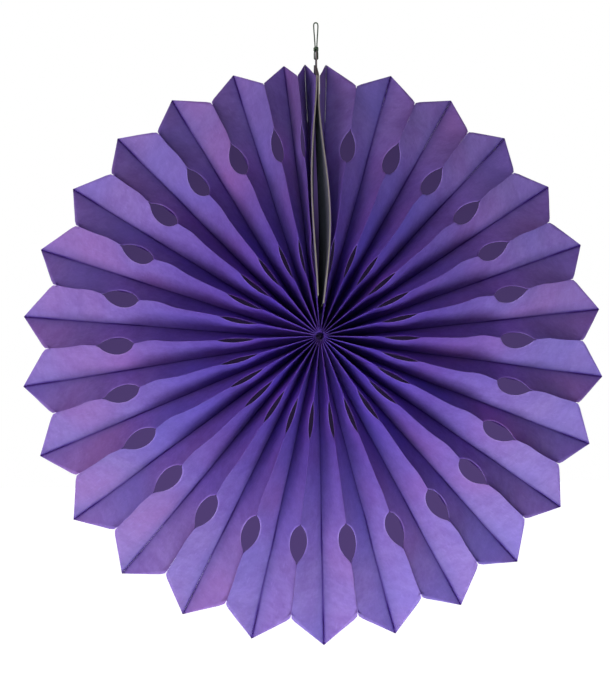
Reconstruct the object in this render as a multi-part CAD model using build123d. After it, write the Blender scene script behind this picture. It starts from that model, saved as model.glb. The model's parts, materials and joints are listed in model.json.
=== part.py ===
"""Hanging tissue-paper honeycomb fan, 300 mm across, opened all the way round.

Frame: origin at the top of the hanging loop, +Z up, +X right as seen from the
front, and the front of the fan faces -Y. The fan's own axis runs along Y
through the hub, straight below the origin.

The fan is a ring of diamond-shaped paper tubes. Each tube is two tissue
leaves, and each leaf is a flat strip, creased along its middle, whose inner
end lies at the hub. Along its middle a leaf is glued to a leaf of the next
tube, and along its front and back edges it is glued to its partner in the
same tube. Two grey-board strips, faced with tissue, close the first and the
last tube; the thread passes through a tab on the right-hand one.

Angles are measured clockwise from straight up, as seen from the front.
All sizes are in millimetres.
"""
import os
from math import atan2, cos, pi, radians, sin, sqrt, tan

from build123d import *

# fan
FAN_RADIUS = 150.0  # hub to the tip of a crease line
TIP_LENGTH = 18.4  # corners between the tips out to the tips
CORNER_RADIUS = FAN_RADIUS - TIP_LENGTH  # hub to a corner, in the ridge plane
HUB_RADIUS = 2.0  # the leaves start here
REGULAR_TUBES = 25
REGULAR_PITCH = 13.62  # degrees from one crease line to the next
LAST_PITCHES = (10.75, 4.25)  # the two tubes squeezed against the left board
SLIT_ANGLE = 360 - REGULAR_TUBES * REGULAR_PITCH - sum(LAST_PITCHES)

# leaves
SHEET_WIDTH = 41.0
TISSUE = 0.1
CREASE_BAND = 0.8  # half the width of the glued strip along the middle
EDGE_BAND = 1.6  # width of the glued strip along the front and back edges
ROOM = 1.5  # a leaf starts where its two planes are this many tissue thicknesses apart
START_STEP = 0.5
STATIONS = (20.0, 35.0, 50.0, 70.0, 90.0, 110.0)  # a leaf is shaped at these radii
END_STATIONS = tuple(8.0 + 4.0 * n for n in range(30))  # closer where it follows a bowed board

# die-cut holes, half of each in either leaf
INNER_HOLE_START = 29.5
INNER_HOLE_LENGTH = 21.1
INNER_HOLE_DEPTH = 5.5  # from the edge
OUTER_HOLE_INSET = 23.1  # from its outer end out to the corner
OUTER_HOLE_LENGTH = 19.7
OUTER_HOLE_DEPTH = 6.5
OUTER_HOLE_END = CORNER_RADIUS - OUTER_HOLE_INSET
HOLES = (
    (INNER_HOLE_START, INNER_HOLE_START + INNER_HOLE_LENGTH, INNER_HOLE_DEPTH),
    (OUTER_HOLE_END - OUTER_HOLE_LENGTH, OUTER_HOLE_END, OUTER_HOLE_DEPTH),
)

# boards: they gape at the front, and their rear edges lie together
BOARD = 0.7
BOARD_GAP = 0.2  # between the two boards where they lie together
GLUE = 0.05  # glue line between a board, its facing and the next leaf
RIGHT_BOARD_START = 16.0
RIGHT_BOW = 5.0  # at the front edge
RIGHT_FLAT = 31.0  # above its bow the board lies against the other, up to the tip
RIGHT_BOW_END = FAN_RADIUS - RIGHT_FLAT
RIGHT_BOW_SKEW = 0.95
RIGHT_CONTACT = RIGHT_BOW_END * 58 / 119  # the first crease line leaves the board at the top of its bow
LEFT_BOARD_START = 20.0
LEFT_BOW = 3.0
LEFT_FLAT = 18.0
LEFT_BOW_END = FAN_RADIUS - LEFT_FLAT
LEFT_BOW_SKEW = 1.3
LEFT_CONTACT = LEFT_BOW_END * 78 / 132
BOW_ROUNDING = 1.6

# hanging tab and thread
TAB_RISE = 3.5  # tips up to the hole's centre
TAB_HOLE_RADIUS_AT = FAN_RADIUS + TAB_RISE
TAB_HALF_WIDTH = 4.0
THREAD = 0.7
THREAD_ROOM = 0.45  # round the thread in the tab's hole
TAB_HOLE = THREAD + 2 * THREAD_ROOM
EYE_ROOM = 0.25  # between the tab's faces and the strands beside them
EYE_WIDTH = BOARD + THREAD + 2 * EYE_ROOM  # between the strands' centre lines
EYE_CORNER = 0.7
KNOT_WALL = 0.2  # knot's surface out from the eye's strands
KNOT_RADIUS = (EYE_WIDTH + THREAD) / 2 + KNOT_WALL
KNOT_HEIGHT = 2.2
KNOT_ROUNDING = 0.45
KNOT_ABOVE_TAB = 0.5
LOOP_RADIUS = 1.15
LOOP_SPREAD = 3.0  # degrees that each strand leans outward
THREAD_SEAT = 0.03  # each strand ends this far above the knot
THREAD_RISE = 21.5  # tab's hole up to the top of the loop
HUB_DROP = TAB_HOLE_RADIUS_AT + THREAD_RISE  # origin down to the fan's axis

HALF_SHEET = SHEET_WIDTH / 2
FREE_WIDTH = HALF_SHEET - CREASE_BAND - EDGE_BAND
HUB = Vector(0, 0, -HUB_DROP)
TAB_MIDDLE = BOARD_GAP / 2 + BOARD / 2


def radial_plane(angle, side):
    """Plane through the hub: x runs outward, z is clockwise for side 1 and back for -1."""
    a = radians(angle)
    return Plane(origin=HUB, x_dir=(sin(a), 0, cos(a)), z_dir=(side * cos(a), 0, -side * sin(a)))


def bow(r, height, end, skew):
    """How far a board bows away from the slit's middle plane at radius r."""
    if r >= end:
        return 0.0
    return height * sin(pi * (r / end) ** skew) ** BOW_ROUNDING


def inner_face(side, r, y=0.0):
    """Distance of a board's inner face from the slit's middle plane; the front is at side * y > 0."""
    height, end, skew = RIGHT_BOW, RIGHT_BOW_END, RIGHT_BOW_SKEW
    if side < 0:
        height, end, skew = LEFT_BOW, LEFT_BOW_END, LEFT_BOW_SKEW
    return BOARD_GAP / 2 + bow(r, height, end, skew) * (0.5 + side * y / SHEET_WIDTH)


def outer_face(side, r, y=0.0):
    """The same for the outer face; nearer the hub the facing runs straight to the hub."""
    start = RIGHT_BOARD_START if side > 0 else LEFT_BOARD_START
    if r < start:
        return (inner_face(side, start, y) + BOARD) * (r - HUB_RADIUS) / (start - HUB_RADIUS)
    return inner_face(side, r, y) + BOARD


def lift(side, r):
    """How far the flat strip at a crease is held off a board that slopes up to the front."""
    return outer_face(side, r, side * CREASE_BAND) - outer_face(side, r)


def end_crease(side, r):
    """The first or last crease line: it follows the board, then runs straight to its tip."""
    contact = RIGHT_CONTACT if side > 0 else LEFT_CONTACT
    stack = 2 * GLUE + TISSUE + lift(side, r)
    if r <= contact:
        return outer_face(side, r) + stack
    touch, tip = end_crease(side, contact), FAN_RADIUS * sin(radians(SLIT_ANGLE / 2))
    return touch + (tip - touch) * (r - contact) / (FAN_RADIUS - contact)


def half_depth(rise):
    """Half the front-to-back size of a leaf whose edges stand this far off its middle."""
    return CREASE_BAND + EDGE_BAND + sqrt(FREE_WIDTH**2 - rise**2)


def half_section(middle, edge):
    """Half of a leaf's outline, from its crease out to one edge and back."""
    rise = edge - middle
    fold = half_depth(rise) - EDGE_BAND
    lean = TISSUE / 2 * tan(atan2(rise, fold - CREASE_BAND) / 2)
    lower = [(CREASE_BAND + lean, middle), (fold + lean, edge), (fold + EDGE_BAND, edge)]
    upper = [(fold + EDGE_BAND, edge), (fold - lean, edge), (CREASE_BAND - lean, middle)]
    return lower + [(y, z + TISSUE) for y, z in upper]


def leaf_section(r, middle, edges):
    """Closed outline of a leaf across radius r, from its lower face along its crease and edges."""
    plus, minus = (half_section(middle, edge) for edge in edges)
    points = plus + [(-y, z) for y, z in reversed(minus)]
    return make_face(Polyline(*[(r, y, z) for y, z in points], close=True))


def facing_section(r, middle, edges):
    """The same for a facing, which lies flat on its board or is drawn off it in one fold."""
    lower = [(-HALF_SHEET, edges[1]), (0, middle), (HALF_SHEET, edges[0])]
    upper = [(y, z + TISSUE) for y, z in reversed(lower)]
    return make_face(Polyline(*[(r, y, z) for y, z in lower + upper], close=True))


def tip_cutter(corner, depth):
    """Prism that leaves an arrow-shaped outer end."""
    far = 2 * HALF_SHEET
    slope = (FAN_RADIUS - corner) / depth
    outline = Polyline(
        (FAN_RADIUS, 0),
        (FAN_RADIUS - slope * far, far),
        (FAN_RADIUS + far, far),
        (FAN_RADIUS + far, -far),
        (FAN_RADIUS - slope * far, -far),
        close=True,
    )
    return extrude(make_face(outline), amount=2 * HALF_SHEET, both=True)


def hole_cutter(ends, depths, notch):
    """Prism for the half holes in a leaf's front and back edges."""
    (r1, r2), (d1, d2) = ends, depths
    bottom = (d1 + d2) / 2 - notch
    profile = ThreePointArc((r1, d1), ((r1 + r2) / 2, bottom), (r2, d2))
    profile += Polyline((r2, d2), (r2, 2 * HALF_SHEET), (r1, 2 * HALF_SHEET), (r1, d1))
    front = extrude(make_face(profile), amount=2 * HALF_SHEET, both=True)
    return [front, mirror(front, about=Plane.XZ)]


def leaf(middle, edges, half_angle=0.0, stations=END_STATIONS, section=leaf_section):
    """Leaf whose lower face lies at middle(r) along its crease, and along its edges at edges(r).

    Past the corners nothing pulls the edges apart, so it runs straight on to its tip.
    """
    shrink = cos(radians(half_angle))
    corner = CORNER_RADIUS * shrink
    start = HUB_RADIUS
    while half_angle and edges(start)[0] - middle(start) < (ROOM - 1) * TISSUE:
        start += START_STEP
    radii = [start] + [r for r in stations if start + 1 < r < corner - 1] + [corner, FAN_RADIUS]
    body = loft([section(r, middle(r), edges(min(r, corner))) for r in radii], ruled=True)

    def depth_at(r):
        return half_depth(sum(edges(r)) / 2 - middle(r))

    cutters = [tip_cutter(corner, depth_at(corner))]
    for r1, r2, notch in HOLES:
        ends = (r1 * shrink, r2 * shrink)
        cutters += hole_cutter(ends, [depth_at(r) for r in ends], notch)
    return body - cutters


def regular_leaf(pitch):
    """Leaf of a tube that spans pitch degrees, from its crease plane up to the ridge plane."""
    slope = tan(radians(pitch / 2))
    return leaf(lambda r: 0.0, lambda r: (r * slope - TISSUE,) * 2, pitch / 2, STATIONS)


def end_leaf(side, pitch):
    """The first or last leaf: its crease follows the board beside it."""
    half_angle = (SLIT_ANGLE + pitch) / 2
    slope = tan(radians(half_angle))
    return leaf(lambda r: end_crease(side, r), lambda r: (r * slope - TISSUE,) * 2, half_angle)


def facing(side):
    """Tissue bonded to a board's outer face, drawn off it along the end crease line."""
    def middle(r):
        return end_crease(side, r) - lift(side, r) - GLUE - TISSUE

    def edges(r):
        return [outer_face(side, r, y) + GLUE for y in (HALF_SHEET, -HALF_SHEET)]

    return leaf(middle, edges, section=facing_section)


def board(side):
    """Grey-board strip with the leaves' arrow-shaped end, bowed at its front."""
    start = RIGHT_BOARD_START if side > 0 else LEFT_BOARD_START
    end = TAB_HOLE_RADIUS_AT + TAB_HALF_WIDTH if side > 0 else FAN_RADIUS
    radii = [start] + [r for r in END_STATIONS if start < r < CORNER_RADIUS - 1] + [CORNER_RADIUS, end]
    strip = loft([board_section(side, r) for r in radii], ruled=True)
    return strip & board_outline(side, start)


def board_section(side, r):
    """Outline of a board across radius r."""
    lower = [(y, inner_face(side, r, y)) for y in (-HALF_SHEET, HALF_SHEET)]
    upper = [(y, z + BOARD) for y, z in reversed(lower)]
    return make_face(Polyline(*[(r, y, z) for y, z in lower + upper], close=True))


def board_outline(side, start):
    """Prism with the outline of a board, and its hanging tab on the right-hand one."""
    tip = make_face(
        Polyline(
            (start, -HALF_SHEET),
            (CORNER_RADIUS, -HALF_SHEET),
            (FAN_RADIUS, 0),
            (CORNER_RADIUS, HALF_SHEET),
            (start, HALF_SHEET),
            close=True,
        )
    )
    if side > 0:
        at = Pos(TAB_HOLE_RADIUS_AT, 0)
        length = TAB_HOLE_RADIUS_AT - CORNER_RADIUS
        tip += Pos(CORNER_RADIUS + length / 2, 0) * Rectangle(length, 2 * TAB_HALF_WIDTH)
        tip += at * Circle(TAB_HALF_WIDTH)
        tip -= at * Circle(TAB_HOLE / 2)
    return extrude(tip, amount=HALF_SHEET, both=True)


def knot():
    """The knot and the eye below it, which passes through the tab."""
    hole = TAB_HOLE_RADIUS_AT - HUB_DROP
    bottom = hole + TAB_HALF_WIDTH + KNOT_ABOVE_TAB
    half = EYE_WIDTH / 2
    barrel = Cylinder(KNOT_RADIUS, KNOT_HEIGHT, align=(Align.CENTER, Align.CENTER, Align.MIN))
    barrel = fillet(barrel.edges().filter_by(GeomType.CIRCLE), KNOT_ROUNDING)
    path = FilletPolyline(
        (-half, 0, bottom + THREAD),
        (-half, 0, hole),
        (half, 0, hole),
        (half, 0, bottom + THREAD),
        radius=EYE_CORNER,
    )
    start = Plane(origin=(-half, 0, bottom + THREAD), z_dir=(0, 0, -1))
    eye = sweep(start * Circle(THREAD / 2), path=path)
    return Pos(TAB_MIDDLE, 0, 0) * (Pos(0, 0, bottom) * barrel + eye)


def thread_loop():
    """The loop above the knot, from strand to strand over the top."""
    top = -THREAD / 2
    centre = top - LOOP_RADIUS
    lean = radians(LOOP_SPREAD)
    foot = TAB_HOLE_RADIUS_AT - HUB_DROP + TAB_HALF_WIDTH + KNOT_ABOVE_TAB + KNOT_HEIGHT
    foot += THREAD_SEAT
    x, z = LOOP_RADIUS * cos(lean), centre - LOOP_RADIUS * sin(lean)
    narrow = x - (z - foot) * tan(lean)
    path = Line((-narrow, 0, foot), (-x, 0, z))
    path += ThreePointArc((-x, 0, z), (0, 0, top), (x, 0, z))
    path += Line((x, 0, z), (narrow, 0, foot))
    start = Plane(origin=(-narrow, 0, foot), z_dir=(-sin(lean), 0, cos(lean)))
    return Pos(TAB_MIDDLE, 0, 0) * sweep(start * Circle(THREAD / 2), path=path)


def leaves():
    """All leaves in order, clockwise from the slit, as (name, solid)."""
    pitches = [REGULAR_PITCH] * REGULAR_TUBES + list(LAST_PITCHES)
    shapes = {pitch: regular_leaf(pitch) for pitch in set(pitches)}
    made, crease = [], SLIT_ANGLE / 2
    for n, pitch in enumerate(pitches):
        first = radial_plane(crease, 1) * shapes[pitch]
        if n == 0:
            first = radial_plane(0, 1) * end_leaf(1, pitch)
        crease += pitch
        second = radial_plane(crease, -1) * shapes[pitch]
        if n == len(pitches) - 1:
            second = radial_plane(0, -1) * end_leaf(-1, pitch)
        made += [(f"leaf_{2 * n + 1:02d}", first), (f"leaf_{2 * n + 2:02d}", second)]
    return made


def pieces():
    """Every piece of the fan as (name, solid)."""
    made = [("hanging_thread", thread_loop()), ("thread_knot", knot())]
    for name, side in (("right", 1), ("left", -1)):
        made.append((f"end_board_{name}", radial_plane(0, side) * board(side)))
        made.append((f"facing_{name}", radial_plane(0, side) * facing(side)))
    return made + leaves()


os.makedirs("parts", exist_ok=True)
for name, solid in pieces():
    export_step(solid, f"parts/{name}.step")
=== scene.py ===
"""Tissue, boards, thread and studio for a hanging honeycomb fan.

Lengths in the panels are in metres, as everywhere in Blender. The fan's own
measures below are in millimetres and are turned into metres where a mesh is
made. Angles run clockwise from straight up, seen from the front.
"""

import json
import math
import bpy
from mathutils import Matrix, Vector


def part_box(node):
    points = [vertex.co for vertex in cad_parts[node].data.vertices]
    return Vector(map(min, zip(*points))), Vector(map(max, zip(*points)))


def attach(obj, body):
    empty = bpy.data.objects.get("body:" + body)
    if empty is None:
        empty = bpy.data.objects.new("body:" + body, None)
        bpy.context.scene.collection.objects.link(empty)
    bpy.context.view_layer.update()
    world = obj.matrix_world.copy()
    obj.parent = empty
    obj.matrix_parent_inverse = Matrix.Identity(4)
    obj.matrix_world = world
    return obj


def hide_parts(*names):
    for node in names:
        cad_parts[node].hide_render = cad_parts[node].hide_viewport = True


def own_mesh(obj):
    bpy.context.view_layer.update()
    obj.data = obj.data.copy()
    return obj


bl_info = {
    "name": "Honeycomb Fan",
    "version": (1, 0, 0),
    "blender": (4, 5, 0),
    "location": "3D View > Sidebar > Honeycomb Fan",
    "description": "Tissue leaves, end boards, hanging thread and a small studio for a honeycomb fan",
    "category": "Object",
}

import bmesh
import bpy
from mathutils import Matrix, Vector, noise

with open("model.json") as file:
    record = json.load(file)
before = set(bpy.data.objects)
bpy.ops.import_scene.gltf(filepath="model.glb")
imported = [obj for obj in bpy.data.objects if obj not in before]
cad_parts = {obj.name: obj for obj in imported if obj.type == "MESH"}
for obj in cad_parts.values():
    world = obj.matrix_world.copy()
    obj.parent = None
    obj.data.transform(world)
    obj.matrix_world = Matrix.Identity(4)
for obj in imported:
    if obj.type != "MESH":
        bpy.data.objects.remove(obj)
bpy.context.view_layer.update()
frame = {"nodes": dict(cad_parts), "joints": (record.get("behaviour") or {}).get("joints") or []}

MM = 0.001
PLACES = {j["name"]: j["pos_m"] for j in frame["joints"]}
HUB = Vector(PLACES["fan_fold"])

# the fan, in millimetres and degrees
TIP, CORNER, START = 150.0, 131.6, 2.0
PITCHES = [13.62] * 25 + [10.75, 4.25]
SLIT = 4.5
HALF_SHEET, GLUED_MIDDLE, GLUED_EDGE = 20.5, 0.8, 1.6
FREE = HALF_SHEET - GLUED_MIDDLE - GLUED_EDGE
TISSUE, BOARD, BOARD_GAP, GLUE = 0.1, 0.7, 0.2, 0.05
BLUNT = 0.3  # length of the last of a tip, in which its middle strip narrows to a point
HOLES = ((29.5, 50.6, 5.5), (88.8, 108.5, 6.5))  # inner end, outer end, depth from the edge
# board start, bow, end of the bow, skew of the bow, where the first crease leaves it
BOWS = {1: (16.0, 5.0, 119.0, 0.95, 58.0), -1: (20.0, 3.0, 132.0, 1.3, 78.0)}
BOW_SHARPNESS = 1.6
STRAND = 0.7  # thickness of the thread
HOLE_COLUMNS, TIP_COLUMNS, COLUMN_LENGTH = 16, 9, 2.2  # how finely a leaf's mesh is cut along it

# how the paper wanders, in millimetres along a sheet
STEADY = 60.0  # nearer the hub than this, the sheets wander less
LET_GO = 40.0  # length over which a crease starts to wander beyond a board that holds it
CREASE_WAVE, RIDGE_WAVE, RIPPLES = 26, 22, (8.5, 4.0)
BULGES = ((4.8, 80, 7), (2.6, 114, 5))  # where a ridge is drawn up: how far, at what radius, how widely

# the studio, in metres: each light's place, size and colour
LIGHTS = {
    "key": ((0.03, -0.32, -0.53), 0.25, (0.96, 1.0, 0.97)),
    "fill": ((-0.46, -0.40, -0.20), 0.4, (1.0, 0.80, 0.87)),
    "back": ((0.15, 1.05, -0.35), 1.2, (1.0, 1.0, 1.0)),
}
ROOM_COLOUR = (1.0, 0.84, 0.93)
FLOOR_SIZE = 6.0
# The painted shade card: a glowing disc inside the tubes.
SHADE_CARD_RADIUS, SHADE_CARD_INSET = 0.122, 0.008  # inside the tubes, just behind their middle


class FanSizes(bpy.types.PropertyGroup):
    """Sizes of the paper that a user may change."""

    wrinkle: bpy.props.FloatProperty(
        name="Wrinkles", description="Height of the soft wrinkles in the tissue",
        default=0.00016, min=0.0, max=0.001, unit="LENGTH", precision=5)
    waviness: bpy.props.FloatProperty(
        name="Waviness", description="How far the ridges and creases wander from straight",
        default=0.0003, min=0.0, max=0.001, unit="LENGTH", precision=5)
    thickness: bpy.props.FloatProperty(
        name="Tissue", description="Thickness of one leaf of tissue",
        default=0.00007, min=0.00002, max=0.0003, unit="LENGTH", precision=5)
    rows: bpy.props.IntProperty(
        name="Rows", description="Faces from a leaf's crease to its edge", default=10, min=3, max=30)


class FanColours(bpy.types.PropertyGroup):
    """Colours of the paper, the board and the thread."""

    tissue: bpy.props.FloatVectorProperty(
        name="Tissue", description="Dyed tissue paper", subtype="COLOR",
        default=(0.275, 0.205, 0.55), min=0, max=1)
    tissue_dark: bpy.props.FloatVectorProperty(
        name="Denser fibres", description="Where the tissue's fibres lie closer", subtype="COLOR",
        default=(0.190, 0.118, 0.43), min=0, max=1)
    # Painted shade: this dark colour marks the glued strip at each crease and also stands for the shade in
    # the crease valley.
    glued: bpy.props.FloatVectorProperty(
        name="Glued tissue", description="Tissue soaked with glue along a crease, darkened by painted crease shade",
        subtype="COLOR", default=(0.034, 0.005, 0.20), min=0, max=1)
    through: bpy.props.FloatVectorProperty(
        name="Light through tissue", description="Tint of light that comes through the tissue",
        subtype="COLOR", default=(0.44, 0.15, 0.72), min=0, max=1)
    # Painted shade near the hub: the tissue is multiplied by this colour where the leaves stand close
    # together.
    deep: bpy.props.FloatVectorProperty(
        name="Painted hub shade", description="Tissue darkened by painted shade where its leaves stand close together",
        subtype="COLOR", default=(0.46, 0.31, 0.92), min=0, max=1)
    rosy: bpy.props.FloatVectorProperty(
        name="Rosy patches", description="Where the dye has run redder", subtype="COLOR",
        default=(0.34, 0.150, 0.44), min=0, max=1)
    blue: bpy.props.FloatVectorProperty(
        name="Blue patches", description="Where the dye has run bluer", subtype="COLOR",
        default=(0.185, 0.165, 0.58), min=0, max=1)
    # Painted shade: the colour the shade card glows with, seen through the holes.
    behind: bpy.props.FloatVectorProperty(
        name="Painted shade card", description="The dusk inside the tubes, seen through the holes", subtype="COLOR",
        default=(0.076, 0.046, 0.160), min=0, max=1)
    board: bpy.props.FloatVectorProperty(
        name="Grey board", description="Faces of the end boards", subtype="COLOR",
        default=(0.085, 0.098, 0.135), min=0, max=1)
    board_edge: bpy.props.FloatVectorProperty(
        name="Cut edge", description="Cut edges of the end boards", subtype="COLOR",
        default=(0.19, 0.185, 0.17), min=0, max=1)
    thread: bpy.props.FloatVectorProperty(
        name="Thread", description="Hanging thread", subtype="COLOR",
        default=(0.012, 0.045, 0.022), min=0, max=1)
    thread_light: bpy.props.FloatVectorProperty(
        name="Lighter strand", description="The lighter of the thread's two strands", subtype="COLOR",
        default=(0.06, 0.11, 0.055), min=0, max=1)


class StudioSettings(bpy.types.PropertyGroup):
    """Camera, light and floor."""

    distance: bpy.props.FloatProperty(
        name="Distance", description="Camera to the hub, along the view", default=0.276, unit="LENGTH")
    tilt: bpy.props.FloatProperty(
        name="Tilt", description="How far the fan leans against the view", default=math.radians(5.6),
        subtype="ANGLE")
    turn: bpy.props.FloatProperty(
        name="Turn", description="How far the fan is turned against the view", default=math.radians(1.99),
        subtype="ANGLE")
    roll: bpy.props.FloatProperty(
        name="Roll", description="Turn of the fan about its own axis", default=math.radians(-0.15),
        subtype="ANGLE")
    lens: bpy.props.FloatProperty(
        name="Lens", description="Focal length for a sensor 36 mm high", default=28.58)
    key: bpy.props.FloatProperty(
        name="Key light", description="Power of the light low in front", default=2.95,
        subtype="POWER")
    fill: bpy.props.FloatProperty(
        name="Fill light", description="Power of the rosy light at the left front", default=2.75,
        subtype="POWER")
    back: bpy.props.FloatProperty(
        name="Back light", description="Power of the large light behind", default=7.0,
        subtype="POWER")
    room: bpy.props.FloatProperty(
        name="Room light", description="Strength of the even light all round", default=0.25)
    floor_drop: bpy.props.FloatProperty(
        name="Floor", description="Height of the floor below the loop", default=1.3, unit="LENGTH")


# ---------------------------------------------------------------- materials


def new_material(name):
    """An empty node material with its output; returns (material, tree, output)."""
    material = bpy.data.materials.new(name)
    material.use_nodes = True
    tree = material.node_tree
    tree.nodes.clear()
    return material, tree, tree.nodes.new("ShaderNodeOutputMaterial")


def add(tree, kind, settings=None, **inputs):
    """A node with its settings; inputs are values, or sockets to link, by name."""
    node = tree.nodes.new("ShaderNode" + kind)
    for key, value in (settings or {}).items():
        setattr(node, key, value)
    for key, value in inputs.items():
        socket = node.inputs[int(key[1:])] if key[0] == "_" else node.inputs[key.replace("_", " ")]
        if isinstance(value, bpy.types.NodeSocket):
            tree.links.new(value, socket)
        elif isinstance(value, (tuple, list)) and len(value) == 3 and socket.type == "RGBA":
            socket.default_value = (*value, 1)
        else:
            socket.default_value = value
    return node


def span(tree, value, low, high, to_low=0.0, to_high=1.0):
    """A value taken from one range into another, clamped."""
    return add(tree, "MapRange", None, Value=value, From_Min=low, From_Max=high,
               To_Min=to_low, To_Max=to_high).outputs["Result"]


def mixed(tree, factor, first, second, blend="MIX"):
    """Two colours mixed by a factor."""
    node = add(tree, "Mix", {"data_type": "RGBA", "blend_type": blend})
    for socket, value in ((node.inputs[0], factor), (node.inputs[6], first), (node.inputs[7], second)):
        if isinstance(value, bpy.types.NodeSocket):
            tree.links.new(value, socket)
        elif socket.type == "RGBA":
            socket.default_value = (*value, 1)
        else:
            socket.default_value = value
    return node.outputs[2]


def calc(tree, operation, *values, clamp=False):
    """The result of a Math node."""
    return add(tree, "Math", {"operation": operation, "use_clamp": clamp},
               **{f"_{n}": value for n, value in enumerate(values)}).outputs[0]


def cloudy(tree, place, scale, detail=2.0, **inputs):
    """Soft noise over a place, from 0 to 1."""
    return add(tree, "TexNoise", None, Vector=place, Scale=scale, Detail=detail, **inputs).outputs["Fac"]


def laid(tree, place, scale, turn=(0.0, 0.0, 0.0)):
    """A place stretched and turned, for a pattern with a direction."""
    return add(tree, "Mapping", None, Vector=place, Rotation=turn, Scale=scale).outputs[0]


def uv_map(tree, name):
    """A UV map's coordinates."""
    return add(tree, "UVMap", {"uv_map": name}).outputs["UV"]


def axes(tree, place):
    """The outputs X, Y and Z of a place."""
    return add(tree, "SeparateXYZ", None, Vector=place).outputs


def tissue_material(colours):
    """Dyed tissue: cloudy fibres, fine crumples, glue lines darkened with painted crease shade, painted
    shade near the hub and painted highlights on cut edges.
    """
    material, tree, output = new_material("violet tissue")
    sheet = uv_map(tree, "sheet")
    folds, reach = axes(tree, uv_map(tree, "folds")), axes(tree, uv_map(tree, "reach"))["X"]
    cloud = cloudy(tree, sheet, 7.0, 3.0, Roughness=0.55)
    grain = cloudy(tree, sheet, 70.0, 5.0, Roughness=0.7)
    blotch = cloudy(tree, sheet, 24.0, Roughness=0.6)
    crumple = cloudy(tree, sheet, 22.0, Distortion=0.8)
    dye = cloudy(tree, sheet, 1.6)
    fibre = cloudy(tree, laid(tree, sheet, (28, 150, 1), (0, 0, 0.5)), 1.0, Distortion=0.6)
    cross = cloudy(tree, laid(tree, sheet, (30, 170, 1), (0, 0, -0.9)), 1.0, Distortion=0.6)

    dense = calc(tree, "ADD", span(tree, grain, 0.36, 0.64, 0.0, 0.35),
                 span(tree, cloud, 0.38, 0.62, 0.0, 0.3))
    dense = calc(tree, "ADD", dense, span(tree, blotch, 0.40, 0.60, 0.0, 0.35))
    colour = mixed(tree, dense, tuple(colours.tissue_dark), tuple(colours.tissue))
    colour = mixed(tree, span(tree, dye, 0.52, 0.72, 0.0, 0.65), colour, tuple(colours.rosy))
    colour = mixed(tree, span(tree, dye, 0.48, 0.30, 0.0, 0.65), colour, tuple(colours.blue))
    streaks = calc(tree, "MAXIMUM", span(tree, fibre, 0.60, 0.74), span(tree, cross, 0.60, 0.74))
    pale = tuple(min(1.0, c * 1.3) for c in colours.tissue)
    colour = mixed(tree, span(tree, streaks, 0, 1, 0, 0.4), colour, pale)
    # Darker towards each crease: glue-soaked tissue and painted shade in the crease valley, darkest along
    # the glued strip.
    soaked = span(tree, folds["X"], 0.08, 0.42, 0.5, 0.0)
    colour = mixed(tree, soaked, colour, tuple(0.62 * c for c in colours.blue))
    glue = span(tree, folds["X"], 0.07, 0.15, 0.95, 0.0)
    colour = mixed(tree, glue, colour, tuple(colours.glued))
    # Painted shade near the hub: full within 30 mm of it, gone by 112 mm.
    deep = mixed(tree, 1.0, colour, tuple(colours.deep), "MULTIPLY")
    colour = mixed(tree, span(tree, reach, 0.30, 1.12, 1.0, 0.0), colour, deep)
    # Painted highlight along the cut edges of the holes and tips: paler tissue where light catches an edge.
    rim = span(tree, folds["Y"], 0.01, 0.04, 0.25, 0.0)
    colour = mixed(tree, rim, colour, tuple(min(1.0, c * 1.5 + 0.05) for c in colours.tissue))

    height = calc(tree, "MULTIPLY_ADD", grain, 0.4, crumple)
    bump = add(tree, "Bump", None, Strength=0.3, Distance=0.0006, Height=height).outputs["Normal"]
    paper = add(tree, "BsdfPrincipled", None, Base_Color=colour, Roughness=0.62, Normal=bump)
    paper.inputs["Specular IOR Level"].default_value = 0.5
    tint = mixed(tree, dense, tuple(0.8 * c for c in colours.through), tuple(colours.through))
    behind = add(tree, "BsdfTranslucent", None, Color=tint, Normal=bump)
    both = add(tree, "MixShader", None, _0=0.44, _1=paper.outputs[0], _2=behind.outputs[0])
    tree.links.new(both.outputs[0], output.inputs["Surface"])
    return material


def board_material(colours):
    """Grey board: speckled pulp on its faces, pale layered pulp on its cut edges."""
    material, tree, output = new_material("grey board")
    place = add(tree, "TexCoord").outputs
    speck = cloudy(tree, place["Object"], 900.0, 4.0, Roughness=0.7)
    patch = cloudy(tree, place["Object"], 60.0)
    dense = calc(tree, "ADD", span(tree, speck, 0.35, 0.65, 0.0, 0.6),
                 span(tree, patch, 0.35, 0.65, 0.0, 0.4))
    face = mixed(tree, dense, tuple(0.72 * c for c in colours.board), tuple(1.25 * c for c in colours.board))
    layer = cloudy(tree, laid(tree, place["Object"], (3000, 400, 400)), 1.0)
    edge = mixed(tree, span(tree, layer, 0.3, 0.7), tuple(0.7 * c for c in colours.board_edge),
                 tuple(colours.board_edge))
    sideways = axes(tree, place["Normal"])["X"]
    flat = span(tree, calc(tree, "ABSOLUTE", sideways), 0.5, 0.6)
    bump = add(tree, "Bump", None, Strength=0.3, Distance=0.0002, Height=speck).outputs["Normal"]
    pulp = add(tree, "BsdfPrincipled", None, Base_Color=mixed(tree, flat, edge, face), Roughness=0.78,
               Normal=bump)
    pulp.inputs["Specular IOR Level"].default_value = 0.3
    tree.links.new(pulp.outputs[0], output.inputs["Surface"])
    return material


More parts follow.
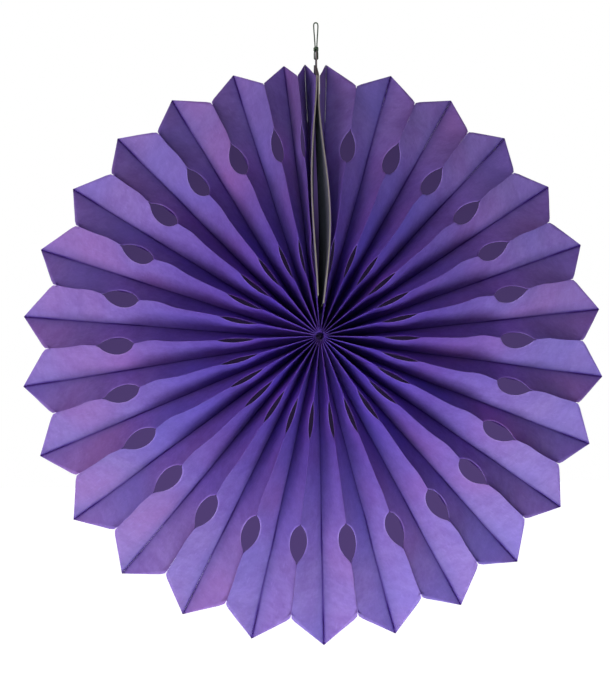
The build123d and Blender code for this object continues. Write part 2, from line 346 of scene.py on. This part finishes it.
def thread_material(colours):
    """Two-ply sewing thread: a dark and a lighter strand twisted together."""
    material, tree, output = new_material("green thread")
    lay = laid(tree, add(tree, "TexCoord").outputs["Object"], (1, 1, 1), (0.0, 0.9, 0.0))
    ply = add(tree, "TexWave", {"bands_direction": "Z"}, Vector=lay, Scale=330.0, Distortion=1.2,
              Detail=1.0).outputs["Fac"]
    hair = cloudy(tree, lay, 5200.0, 3.0)
    colour = mixed(tree, span(tree, ply, 0.55, 0.8), tuple(colours.thread), tuple(colours.thread_light))
    colour = mixed(tree, span(tree, hair, 0.55, 0.75, 0.0, 0.4), colour, tuple(colours.thread_light))
    bump = add(tree, "Bump", None, Strength=0.7, Distance=0.0001, Height=ply).outputs["Normal"]
    fibre = add(tree, "BsdfPrincipled", None, Base_Color=colour, Roughness=0.6, Normal=bump)
    fibre.inputs["Sheen Weight"].default_value = 0.1
    tree.links.new(fibre.outputs[0], output.inputs["Surface"])
    return material


def material(name, make):
    """The scene's material of that name, made once."""
    return bpy.data.materials.get(name) or make(bpy.context.scene.fan_colours)


# ---------------------------------------------------------------- shape of the paper


def bow(side, r):
    """How far a board bows away from the slit's middle plane at radius r."""
    start, height, end, skew, _ = BOWS[side]
    return 0.0 if r >= end else height * math.sin(math.pi * (r / end) ** skew) ** BOW_SHARPNESS


def outer_face(side, r, y=0.0):
    """Distance of a board's outer face from the slit's middle plane; it bows at the front only."""
    start = BOWS[side][0]
    share = 0.5 - y / (2 * HALF_SHEET)
    if r < start:
        return (BOARD_GAP / 2 + share * bow(side, start) + BOARD) * (r - START) / (start - START)
    return BOARD_GAP / 2 + share * bow(side, r) + BOARD


def lift(side, r):
    """How far the flat strip at a crease is held off a board that slopes up to the front."""
    return outer_face(side, r, -GLUED_MIDDLE) - outer_face(side, r)


def end_crease(side, r):
    """The first or last crease line: it follows the board, then runs straight to its tip."""
    contact = BOWS[side][4]
    if r <= contact:
        return outer_face(side, r) + 2 * GLUE + TISSUE + lift(side, r)
    touch, tip = end_crease(side, contact), TIP * math.sin(math.radians(SLIT / 2))
    return touch + (tip - touch) * (r - contact) / (TIP - contact)


def waver(seed, r, y=0.0, size=9.0):
    """Soft noise from -1 to 1 over a sheet."""
    return noise.noise(Vector((r / size, y / size, 17.3 * seed + 0.5)))


class Sheet:
    """One sheet's shape: where its middle and its edges run, and how deep it reaches.

    Across a sheet, middle and edge are distances from its own plane at a
    radius; the sheet runs straight between them, with a glued strip at each.
    """

    def __init__(self, middle, edge, half_angle, held=0.0, start=START):
        self.middle, self.edge, self.held, self.start = middle, edge, held, start
        self.shrink = math.cos(math.radians(half_angle))
        self.corner = CORNER * self.shrink
        if half_angle:
            while edge(self.start) - middle(self.start) < 0.05:
                self.start += 0.5

    def rise(self, r):
        return self.edge(min(r, self.corner)) - self.middle(r)

    def fold(self, r):
        """Distance from the glued middle strip out to the glued edge strip."""
        return math.sqrt(FREE**2 - self.rise(min(r, self.corner)) ** 2)

    def depth(self, r):
        """How far the sheet reaches to the front and back, with its holes and its tip."""
        full = GLUED_MIDDLE + self.fold(r) + GLUED_EDGE
        if r > self.corner:
            blunt = TIP - BLUNT
            if r >= blunt:
                return GLUED_MIDDLE * (TIP - r) / (TIP - blunt)
            return GLUED_MIDDLE + (full - GLUED_MIDDLE) * (blunt - r) / (blunt - self.corner)
        for inner, outer, notch in HOLES:
            a, b = inner * self.shrink, outer * self.shrink
            if a < r < b:
                half = (b - a) / 2
                big = (half**2 + notch**2) / (2 * notch)
                return full - (math.sqrt(big**2 - (r - (a + b) / 2) ** 2) - (big - notch))
        return full

    def height(self, r, y):
        """Distance of the sheet's middle surface from its plane."""
        across = min(1.0, max(0.0, (abs(y) - GLUED_MIDDLE) / self.fold(r)))
        return self.middle(r) + TISSUE / 2 + self.rise(r) * across, across

    def columns(self):
        """Radii of the mesh's columns, with one at each end of a hole and at the corner."""
        marks = [self.start]
        for inner, outer, _ in HOLES:
            marks += [inner * self.shrink, outer * self.shrink]
        marks += [self.corner, TIP]
        found = []
        for n, (a, b) in enumerate(zip(marks, marks[1:])):
            plain = max(4, round((b - a) / COLUMN_LENGTH))
            count = {1: HOLE_COLUMNS, 3: HOLE_COLUMNS, 5: TIP_COLUMNS}.get(n, plain)
            found += [a + (b - a) * k / count for k in range(count)]
        return found + [TIP - BLUNT, TIP]


class Facing(Sheet):
    """Tissue that lies flat on a board's sloping outer face, or is drawn off it in one fold."""

    def __init__(self, side):
        super().__init__(lambda r: end_crease(side, r) - lift(side, r) - GLUE - TISSUE,
                         lambda r: outer_face(side, r) + GLUE, 0.0, BOWS[side][4])
        self.side = side

    def height(self, r, y):
        across = min(1.0, abs(y) / HALF_SHEET)
        edge = outer_face(self.side, min(r, self.corner), math.copysign(HALF_SHEET, y)) + GLUE
        return self.middle(r) + TISSUE / 2 + (edge - self.middle(r)) * across, across


def bulge(r):
    """How far a ridge is drawn up beside its outer hole, in units of the waviness."""
    return sum(height * math.exp(-((r - middle) / width) ** 2) for height, middle, width in BULGES)


def sheet_mesh(name, sheet, angle, side, seed, crease_seed, ridge_seed, ridge=0.0):
    """A leaf's mesh: a grid bent to the sheet's shape, in the plane at that angle."""
    sizes = bpy.context.scene.fan_sizes
    columns, rows = sheet.columns(), sizes.rows
    steps = [0.0, GLUED_MIDDLE] + [None] * (rows - 1) + ["fold", "edge"]
    count = len(steps) - 1
    bm = bmesh.new()
    bmesh.ops.create_grid(bm, x_segments=len(columns) - 1, y_segments=2 * count, size=1.0)
    uv_sheet, uv_folds = bm.loops.layers.uv.new("sheet"), bm.loops.layers.uv.new("folds")
    uv_reach = bm.loops.layers.uv.new("reach")
    out = Vector((math.sin(angle), 0, math.cos(angle)))
    turn = Vector((math.cos(angle), 0, -math.sin(angle)))
    found = {}
    rim_free = [sheet.depth(r) > sheet.fold(r) + GLUED_MIDDLE + GLUED_EDGE - 0.2 for r in columns]
    for v in bm.verts:
        column = round((v.co.x + 1) / 2 * (len(columns) - 1))
        row = round(v.co.y * count)
        r, k = columns[column], abs(row)
        fold, depth = sheet.fold(r), sheet.depth(r)
        full = GLUED_MIDDLE + fold + GLUED_EDGE
        if k == 0:
            y = 0.0
        elif k == 1:
            y = GLUED_MIDDLE
        elif k == count:
            y = full
        else:
            y = GLUED_MIDDLE + fold * (k - 1) / (count - 2)
        y *= depth / full
        y = math.copysign(y, row)
        height, across = sheet.height(r, y)
        far = min(1.0, r / STEADY)
        free = min(1.0, max(0.0, (r - sheet.held) / LET_GO)) if sheet.held else far
        lean = waver(crease_seed, r, size=CREASE_WAVE) * (1 - across) * free
        if ridge_seed is not None:
            lean += across * far * (waver(ridge_seed, r, size=RIDGE_WAVE) - bulge(r) * math.sin(ridge))
        soft = 4 * across * (1 - across)
        ripple = waver(seed + 0.3, r, y, RIPPLES[0]) + 0.5 * waver(seed + 0.7, r, y, RIPPLES[1])
        height += soft * far * ripple * sizes.wrinkle / MM
        found[v] = (r, y, depth - abs(y), row, column)
        shift = side * height * MM + lean * sizes.waviness
        v.co = HUB + out * r * MM + turn * shift + Vector((0, y * MM, 0))
    for face in bm.faces:
        face.smooth = True
        for loop in face.loops:
            r, y, rim, row, column = found[loop.vert]
            loop[uv_sheet].uv = (r / 100 + 1.7 * seed, y / 100 + 0.43 * seed)
            straight = r < sheet.corner and rim_free[column]
            # The folds map holds the distance from the crease, for the glue and its painted crease shade,
            # and from a cut edge, for the painted edge highlight, which edges away from the holes and tips
            # do not get.
            loop[uv_folds].uv = (abs(y) / 10, rim / 10 + straight)
            # The reach map places the painted shade near the hub.
            loop[uv_reach].uv = (r / 100, y / 100)
    for edge in bm.edges:
        a, b = (found[v][3] for v in edge.verts)
        if a == b and abs(a) in (1, count - 1):
            edge.smooth = False
    bmesh.ops.remove_doubles(bm, verts=bm.verts[:], dist=1e-6)
    bm.normal_update()
    if side < 0:
        bmesh.ops.reverse_faces(bm, faces=bm.faces[:])
    mesh = bpy.data.meshes.new(name)
    bm.to_mesh(mesh)
    bm.free()
    return mesh


def add_piece(name, mesh, look, body, slot, *nodes):
    """An object for a mesh that stands for nodes of the frame and rides on a body."""
    piece = bpy.data.objects.new(name, mesh)
    bpy.context.scene.collection.objects.link(piece)
    if look.name not in [m.name for m in piece.data.materials if m]:
        piece.data.materials.append(look)
    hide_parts(*nodes)
    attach(piece, body)
    return piece


def thicken(piece):
    """Gives a sheet its thickness on both sides of its surface."""
    shell = piece.modifiers.new("thickness", "SOLIDIFY")
    shell.thickness = bpy.context.scene.fan_sizes.thickness
    shell.offset = 0.0
    shell.use_rim = True


def regular_sheet(pitch):
    """Leaf of a tube that spans pitch degrees, from its crease plane to its ridge plane."""
    slope = math.tan(math.radians(pitch / 2))
    return Sheet(lambda r: 0.0, lambda r: r * slope - TISSUE, pitch / 2)


def end_sheet(side, pitch):
    """The first or last leaf, whose crease follows the board beside it."""
    half_angle = (SLIT + pitch) / 2
    slope = math.tan(math.radians(half_angle))
    return Sheet(lambda r: end_crease(side, r), lambda r: r * slope - TISSUE, half_angle, BOWS[side][4])


# ---------------------------------------------------------------- operators


class FAN_OT_leaves(bpy.types.Operator):
    """Builds the 54 tissue leaves, each riding on its crease or end board"""

    bl_idname = "fan.leaves"
    bl_label = "Tissue Leaves"

    def execute(self, context):
        look = material("violet tissue", tissue_material)
        crease = SLIT / 2
        for tube, pitch in enumerate(PITCHES):
            for late in (0, 1):
                number = 2 * tube + 1 + late
                side = -1 if late else 1
                line = tube + late
                angle = math.radians(crease + late * pitch)
                sheet = regular_sheet(pitch)
                body = f"crease_{line:02d}"
                if line == 0:
                    angle, sheet, body = 0.0, end_sheet(1, pitch), "board_right"
                elif line == len(PITCHES):
                    angle, sheet, body = 0.0, end_sheet(-1, pitch), "board_left"
                name = f"leaf_{number:02d}"
                ridge = math.radians(crease + pitch / 2)
                mesh = sheet_mesh(name, sheet, angle, side, number, 100 + line, 200 + tube, ridge)
                piece = add_piece("tissue_" + name, mesh, look, body, "tissue", name)
                thicken(piece)
                if body.startswith("crease"):
                    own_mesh(piece)
            crease += pitch
        return {"FINISHED"}


class FAN_OT_boards(bpy.types.Operator):
    """Gives the two end boards their finish and faces them with tissue"""

    bl_idname = "fan.boards"
    bl_label = "End Boards"

    def execute(self, context):
        for name, side in (("right", 1), ("left", -1)):
            carried = frame["nodes"][f"end_board_{name}"]
            carried.data.materials.clear()
            carried.data.materials.append(material("grey board", board_material))
            crease = 100 + (0 if side > 0 else len(PITCHES))
            mesh = sheet_mesh(f"facing_{name}", Facing(side), 0.0, side, 300 + side, crease, None)
            thicken(add_piece(f"tissue_facing_{name}", mesh, material("violet tissue", tissue_material),
                              f"board_{name}", "tissue", f"facing_{name}"))
        return {"FINISHED"}


class FAN_OT_thread(bpy.types.Operator):
    """Hangs the fan from a loop of thread, with a wrapped knot and an eye through the tab"""

    bl_idname = "fan.thread"
    bl_label = "Hanging Thread"

    def execute(self, context):
        look = material("green thread", thread_material)
        low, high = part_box("hanging_thread")
        middle, half = (low.x + high.x) / 2, (high.x - low.x) / 2
        strand = STRAND * MM
        foot = low.z + 0.00003
        wide, top = half - strand / 2, high.z - strand / 2
        narrow = wide - math.tan(math.radians(3)) * (top - wide - foot)
        leg, shoulder = 0.004, 0.0035
        right = [(narrow, foot), (narrow + 0.0002, foot + leg), (wide, top - shoulder),
                 (wide * 1.02, top - 0.0001)]
        route = [(-x, z) for x, z in right] + right[::-1]
        loop = self.curve("thread_loop", [(middle + x, 0, z) for x, z in route], strand)
        loop.data.materials.append(look)
        bpy.context.scene.collection.objects.link(loop)
        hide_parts("hanging_thread")
        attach(loop, "thread")

        low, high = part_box("thread_knot")
        middle = (low.x + high.x) / 2
        path = self.knot_path(middle, high.z)
        wrapped = self.curve("knot_path", path, strand)
        mesh = bpy.data.meshes.new_from_object(wrapped)
        mesh.name = "thread_knot_wrapped"
        bpy.data.objects.remove(wrapped)
        add_piece("thread_knot_and_eye", mesh, look, "knot", "thread", "thread_knot")
        return {"FINISHED"}

    def curve(self, name, points, diameter):
        """A smooth round strand along the points, not yet in the scene."""
        data = bpy.data.curves.new(name, "CURVE")
        data.dimensions = "3D"
        data.bevel_depth = diameter / 2
        data.bevel_resolution = 4
        data.resolution_u = 10
        data.use_fill_caps = True
        spline = data.splines.new("NURBS")
        spline.points.add(len(points) - 1)
        for point, place in zip(spline.points, points):
            point.co = (*place, 1)
        spline.order_u = 3
        spline.use_endpoint_u = True
        return bpy.data.objects.new(name, data)

    def knot_path(self, x, top):
        """Down one side of the tab, through its hole, up the other, then wrapped about itself."""
        hole = PLACES["swing"][2]
        eye, wrap, turns, steps = 0.00095, 0.00112, 3, 8
        barrel = top - 0.0022
        path = [(x - 0.0003, 0, barrel + 0.001), (x - eye, 0, barrel - 0.0002), (x - eye, 0, hole + 0.001),
                (x - eye, 0, hole), (x, 0, hole - 0.00002), (x + eye, 0, hole), (x + eye, 0, hole + 0.001),
                (x + eye, 0, barrel - 0.0002), (x + 0.0004, 0, barrel + 0.0004)]
        for n in range(turns * steps + 1):
            a = 2 * math.pi * n / steps
            rise = barrel + 0.0004 + (top - barrel - 0.0008) * n / (turns * steps)
            path.append((x + wrap * math.cos(a), wrap * math.sin(a), rise))
        path += [(x + 0.0003, 0.0003, top - 0.0004), (x - 0.0002, 0, top - 0.0004)]
        return path


class FAN_OT_stage(bpy.types.Operator):
    """Sets up the pale floor, the soft lights, the white surround, a painted shade card and the camera"""

    bl_idname = "fan.stage"
    bl_label = "Stage and Camera"

    def execute(self, context):
        studio = context.scene.fan_studio
        self.camera(studio)
        self.floor(studio)
        self.painted_shade()
        for name, (place, size, colour) in LIGHTS.items():
            self.light(name, place, size, getattr(studio, name), colour)
        world = bpy.data.worlds.new("white surround")
        context.scene.world = world
        world.use_nodes = True
        tree = world.node_tree
        tree.nodes.clear()
        even = add(tree, "Background", None, Color=ROOM_COLOUR, Strength=studio.room)
        white = add(tree, "Background", None, Color=(1, 1, 1), Strength=1.0)
        path = add(tree, "LightPath")
        both = add(tree, "MixShader", None, _0=path.outputs["Is Camera Ray"], _1=even.outputs[0],
                   _2=white.outputs[0])
        tree.links.new(both.outputs[0], tree.nodes.new("ShaderNodeOutputWorld").inputs[0])
        context.scene.view_settings.view_transform = "Standard"
        return {"FINISHED"}

    def camera(self, studio):
        """Camera in front of the fan; the fan leans and turns a little against the view."""
        turn = (Matrix.Rotation(studio.turn, 3, "Z") @ Matrix.Rotation(-studio.tilt, 3, "X")
                @ Matrix.Rotation(studio.roll, 3, "Y"))
        back = turn.transposed()
        data = bpy.data.cameras.new("camera")
        data.sensor_fit = "VERTICAL"
        data.sensor_height, data.lens = 36.0, studio.lens
        data.clip_start, data.clip_end = 0.01, 50.0
        camera = bpy.data.objects.new("camera", data)
        bpy.context.scene.collection.objects.link(camera)
        aim = Vector((0.0065, 0.0, -0.0017))
        place = HUB + back @ (Vector((0, -studio.distance, 0)) - aim)
        axes = [back @ Vector((1, 0, 0)), back @ Vector((0, 0, 1)), back @ Vector((0, -1, 0))]
        pose = Matrix.Identity(4)
        for n, axis in enumerate(axes):
            for k in range(3):
                pose[k][n] = axis[k]
        pose.translation = place
        camera.matrix_world = pose
        bpy.context.scene.camera = camera

    def floor(self, studio):
        """A wide pale floor well below the fan."""
        bm = bmesh.new()
        bmesh.ops.create_grid(bm, x_segments=2, y_segments=2, size=FLOOR_SIZE)
        bmesh.ops.translate(bm, verts=bm.verts[:], vec=(0, 0, -studio.floor_drop))
        mesh = bpy.data.meshes.new("floor")
        bm.to_mesh(mesh)
        bm.free()
        floor = bpy.data.objects.new("floor", mesh)
        bpy.context.scene.collection.objects.link(floor)
        look, tree, output = new_material("pale floor")
        grain = cloudy(tree, add(tree, "TexCoord").outputs["Object"], 40.0)
        pale = mixed(tree, grain, (0.78, 0.78, 0.78), (0.82, 0.82, 0.82))
        paint = add(tree, "BsdfPrincipled", None, Base_Color=pale, Roughness=0.9)
        white = add(tree, "Emission", None, Color=(1, 1, 1),
                    Strength=add(tree, "LightPath").outputs["Is Camera Ray"])
        both = add(tree, "AddShader", None, _0=paint.outputs[0], _1=white.outputs[0])
        tree.links.new(both.outputs[0], output.inputs["Surface"])
        mesh.materials.append(look)

    def painted_shade(self):
        """A painted shade card: a disc that glows with the shade inside the closed tubes, which shows
        through the holes in their front.

        It is clear where no paper is near and from behind, and its painted shade is darker behind the inner
        holes than behind the outer, and dimmer towards the top.
        """
        bm = bmesh.new()
        bmesh.ops.create_circle(bm, cap_ends=True, segments=64, radius=SHADE_CARD_RADIUS)
        bmesh.ops.rotate(bm, verts=bm.verts[:], matrix=Matrix.Rotation(math.pi / 2, 3, "X"))
        bmesh.ops.translate(bm, verts=bm.verts[:], vec=HUB + Vector((0, SHADE_CARD_INSET, 0)))
        mesh = bpy.data.meshes.new("shade")
        bm.to_mesh(mesh)
        bm.free()
        card = bpy.data.objects.new("shade", mesh)
        bpy.context.scene.collection.objects.link(card)
        look, tree, output = new_material("shade behind the fan")
        near = add(tree, "AmbientOcclusion", {"samples": 16}, Distance=0.05).outputs["AO"]
        back = add(tree, "NewGeometry").outputs["Backfacing"]
        covered = calc(tree, "SUBTRACT", span(tree, near, 0.32, 0.42, 1.0, 0.0), back, clamp=True)
        place = add(tree, "TexCoord").outputs["Object"]
        reach = add(tree, "VectorMath", {"operation": "DISTANCE"}, _0=place, _1=tuple(HUB))
        # Painted shade: darker behind the inner holes, paler behind the outer.
        paler_shade = tuple(bpy.context.scene.fan_colours.behind)
        outer = span(tree, reach.outputs["Value"], 0.055, 0.085)
        depth = mixed(tree, outer, tuple(0.22 * c for c in paler_shade), paler_shade)
        # Painted shade, dimmer towards the top; the card glows though it is no lamp.
        dimming = span(tree, axes(tree, place)["Z"], HUB.z - 0.06, HUB.z + 0.10, 1.05, 0.62)
        painted_shade = add(tree, "Emission", None, Color=depth, Strength=dimming)
        clear = add(tree, "BsdfTransparent", None, Color=(1, 1, 1))
        both = add(tree, "MixShader", None, _0=covered, _1=clear.outputs[0], _2=painted_shade.outputs[0])
        tree.links.new(both.outputs[0], output.inputs["Surface"])
        mesh.materials.append(look)
        card.visible_diffuse = card.visible_glossy = False
        card.visible_transmission = card.visible_shadow = False

    def light(self, name, place, size, power, colour):
        """A square light that faces the hub."""
        data = bpy.data.lights.new(name, "AREA")
        data.size, data.energy, data.color = size, power, colour
        lamp = bpy.data.objects.new(name, data)
        bpy.context.scene.collection.objects.link(lamp)
        place = Vector(place)
        lamp.matrix_world = Matrix.Translation(place) @ (
            (HUB - place).to_track_quat("-Z", "Y").to_matrix().to_4x4())
        lamp.visible_camera = False


class FAN_PT_panel(bpy.types.Panel):
    """Sizes, colours and steps of the honeycomb fan"""

    bl_label = "Honeycomb Fan"
    bl_idname = "FAN_PT_panel"
    bl_space_type = "VIEW_3D"
    bl_region_type = "UI"
    bl_category = "Honeycomb Fan"

    def draw(self, context):
        for title, group in (("Paper", context.scene.fan_sizes), ("Colours", context.scene.fan_colours),
                             ("Studio", context.scene.fan_studio)):
            box = self.layout.box()
            box.label(text=title)
            for key in group.__annotations__:
                box.prop(group, key)
        for step in STEPS:
            self.layout.operator(step.bl_idname)


STEPS = (FAN_OT_stage, FAN_OT_thread, FAN_OT_boards, FAN_OT_leaves)
CLASSES = (FanSizes, FanColours, StudioSettings, *STEPS, FAN_PT_panel)


def register():
    for cls in CLASSES:
        bpy.utils.register_class(cls)
    bpy.types.Scene.fan_sizes = bpy.props.PointerProperty(type=FanSizes)
    bpy.types.Scene.fan_colours = bpy.props.PointerProperty(type=FanColours)
    bpy.types.Scene.fan_studio = bpy.props.PointerProperty(type=StudioSettings)


def unregister():
    for name in ("fan_sizes", "fan_colours", "fan_studio"):
        delattr(bpy.types.Scene, name)
    for cls in reversed(CLASSES):
        bpy.utils.unregister_class(cls)


def main():
    register()
    bpy.ops.fan.stage()
    bpy.ops.fan.thread()
    bpy.ops.fan.boards()
    bpy.ops.fan.leaves()


if __name__ == "__main__":
    main()
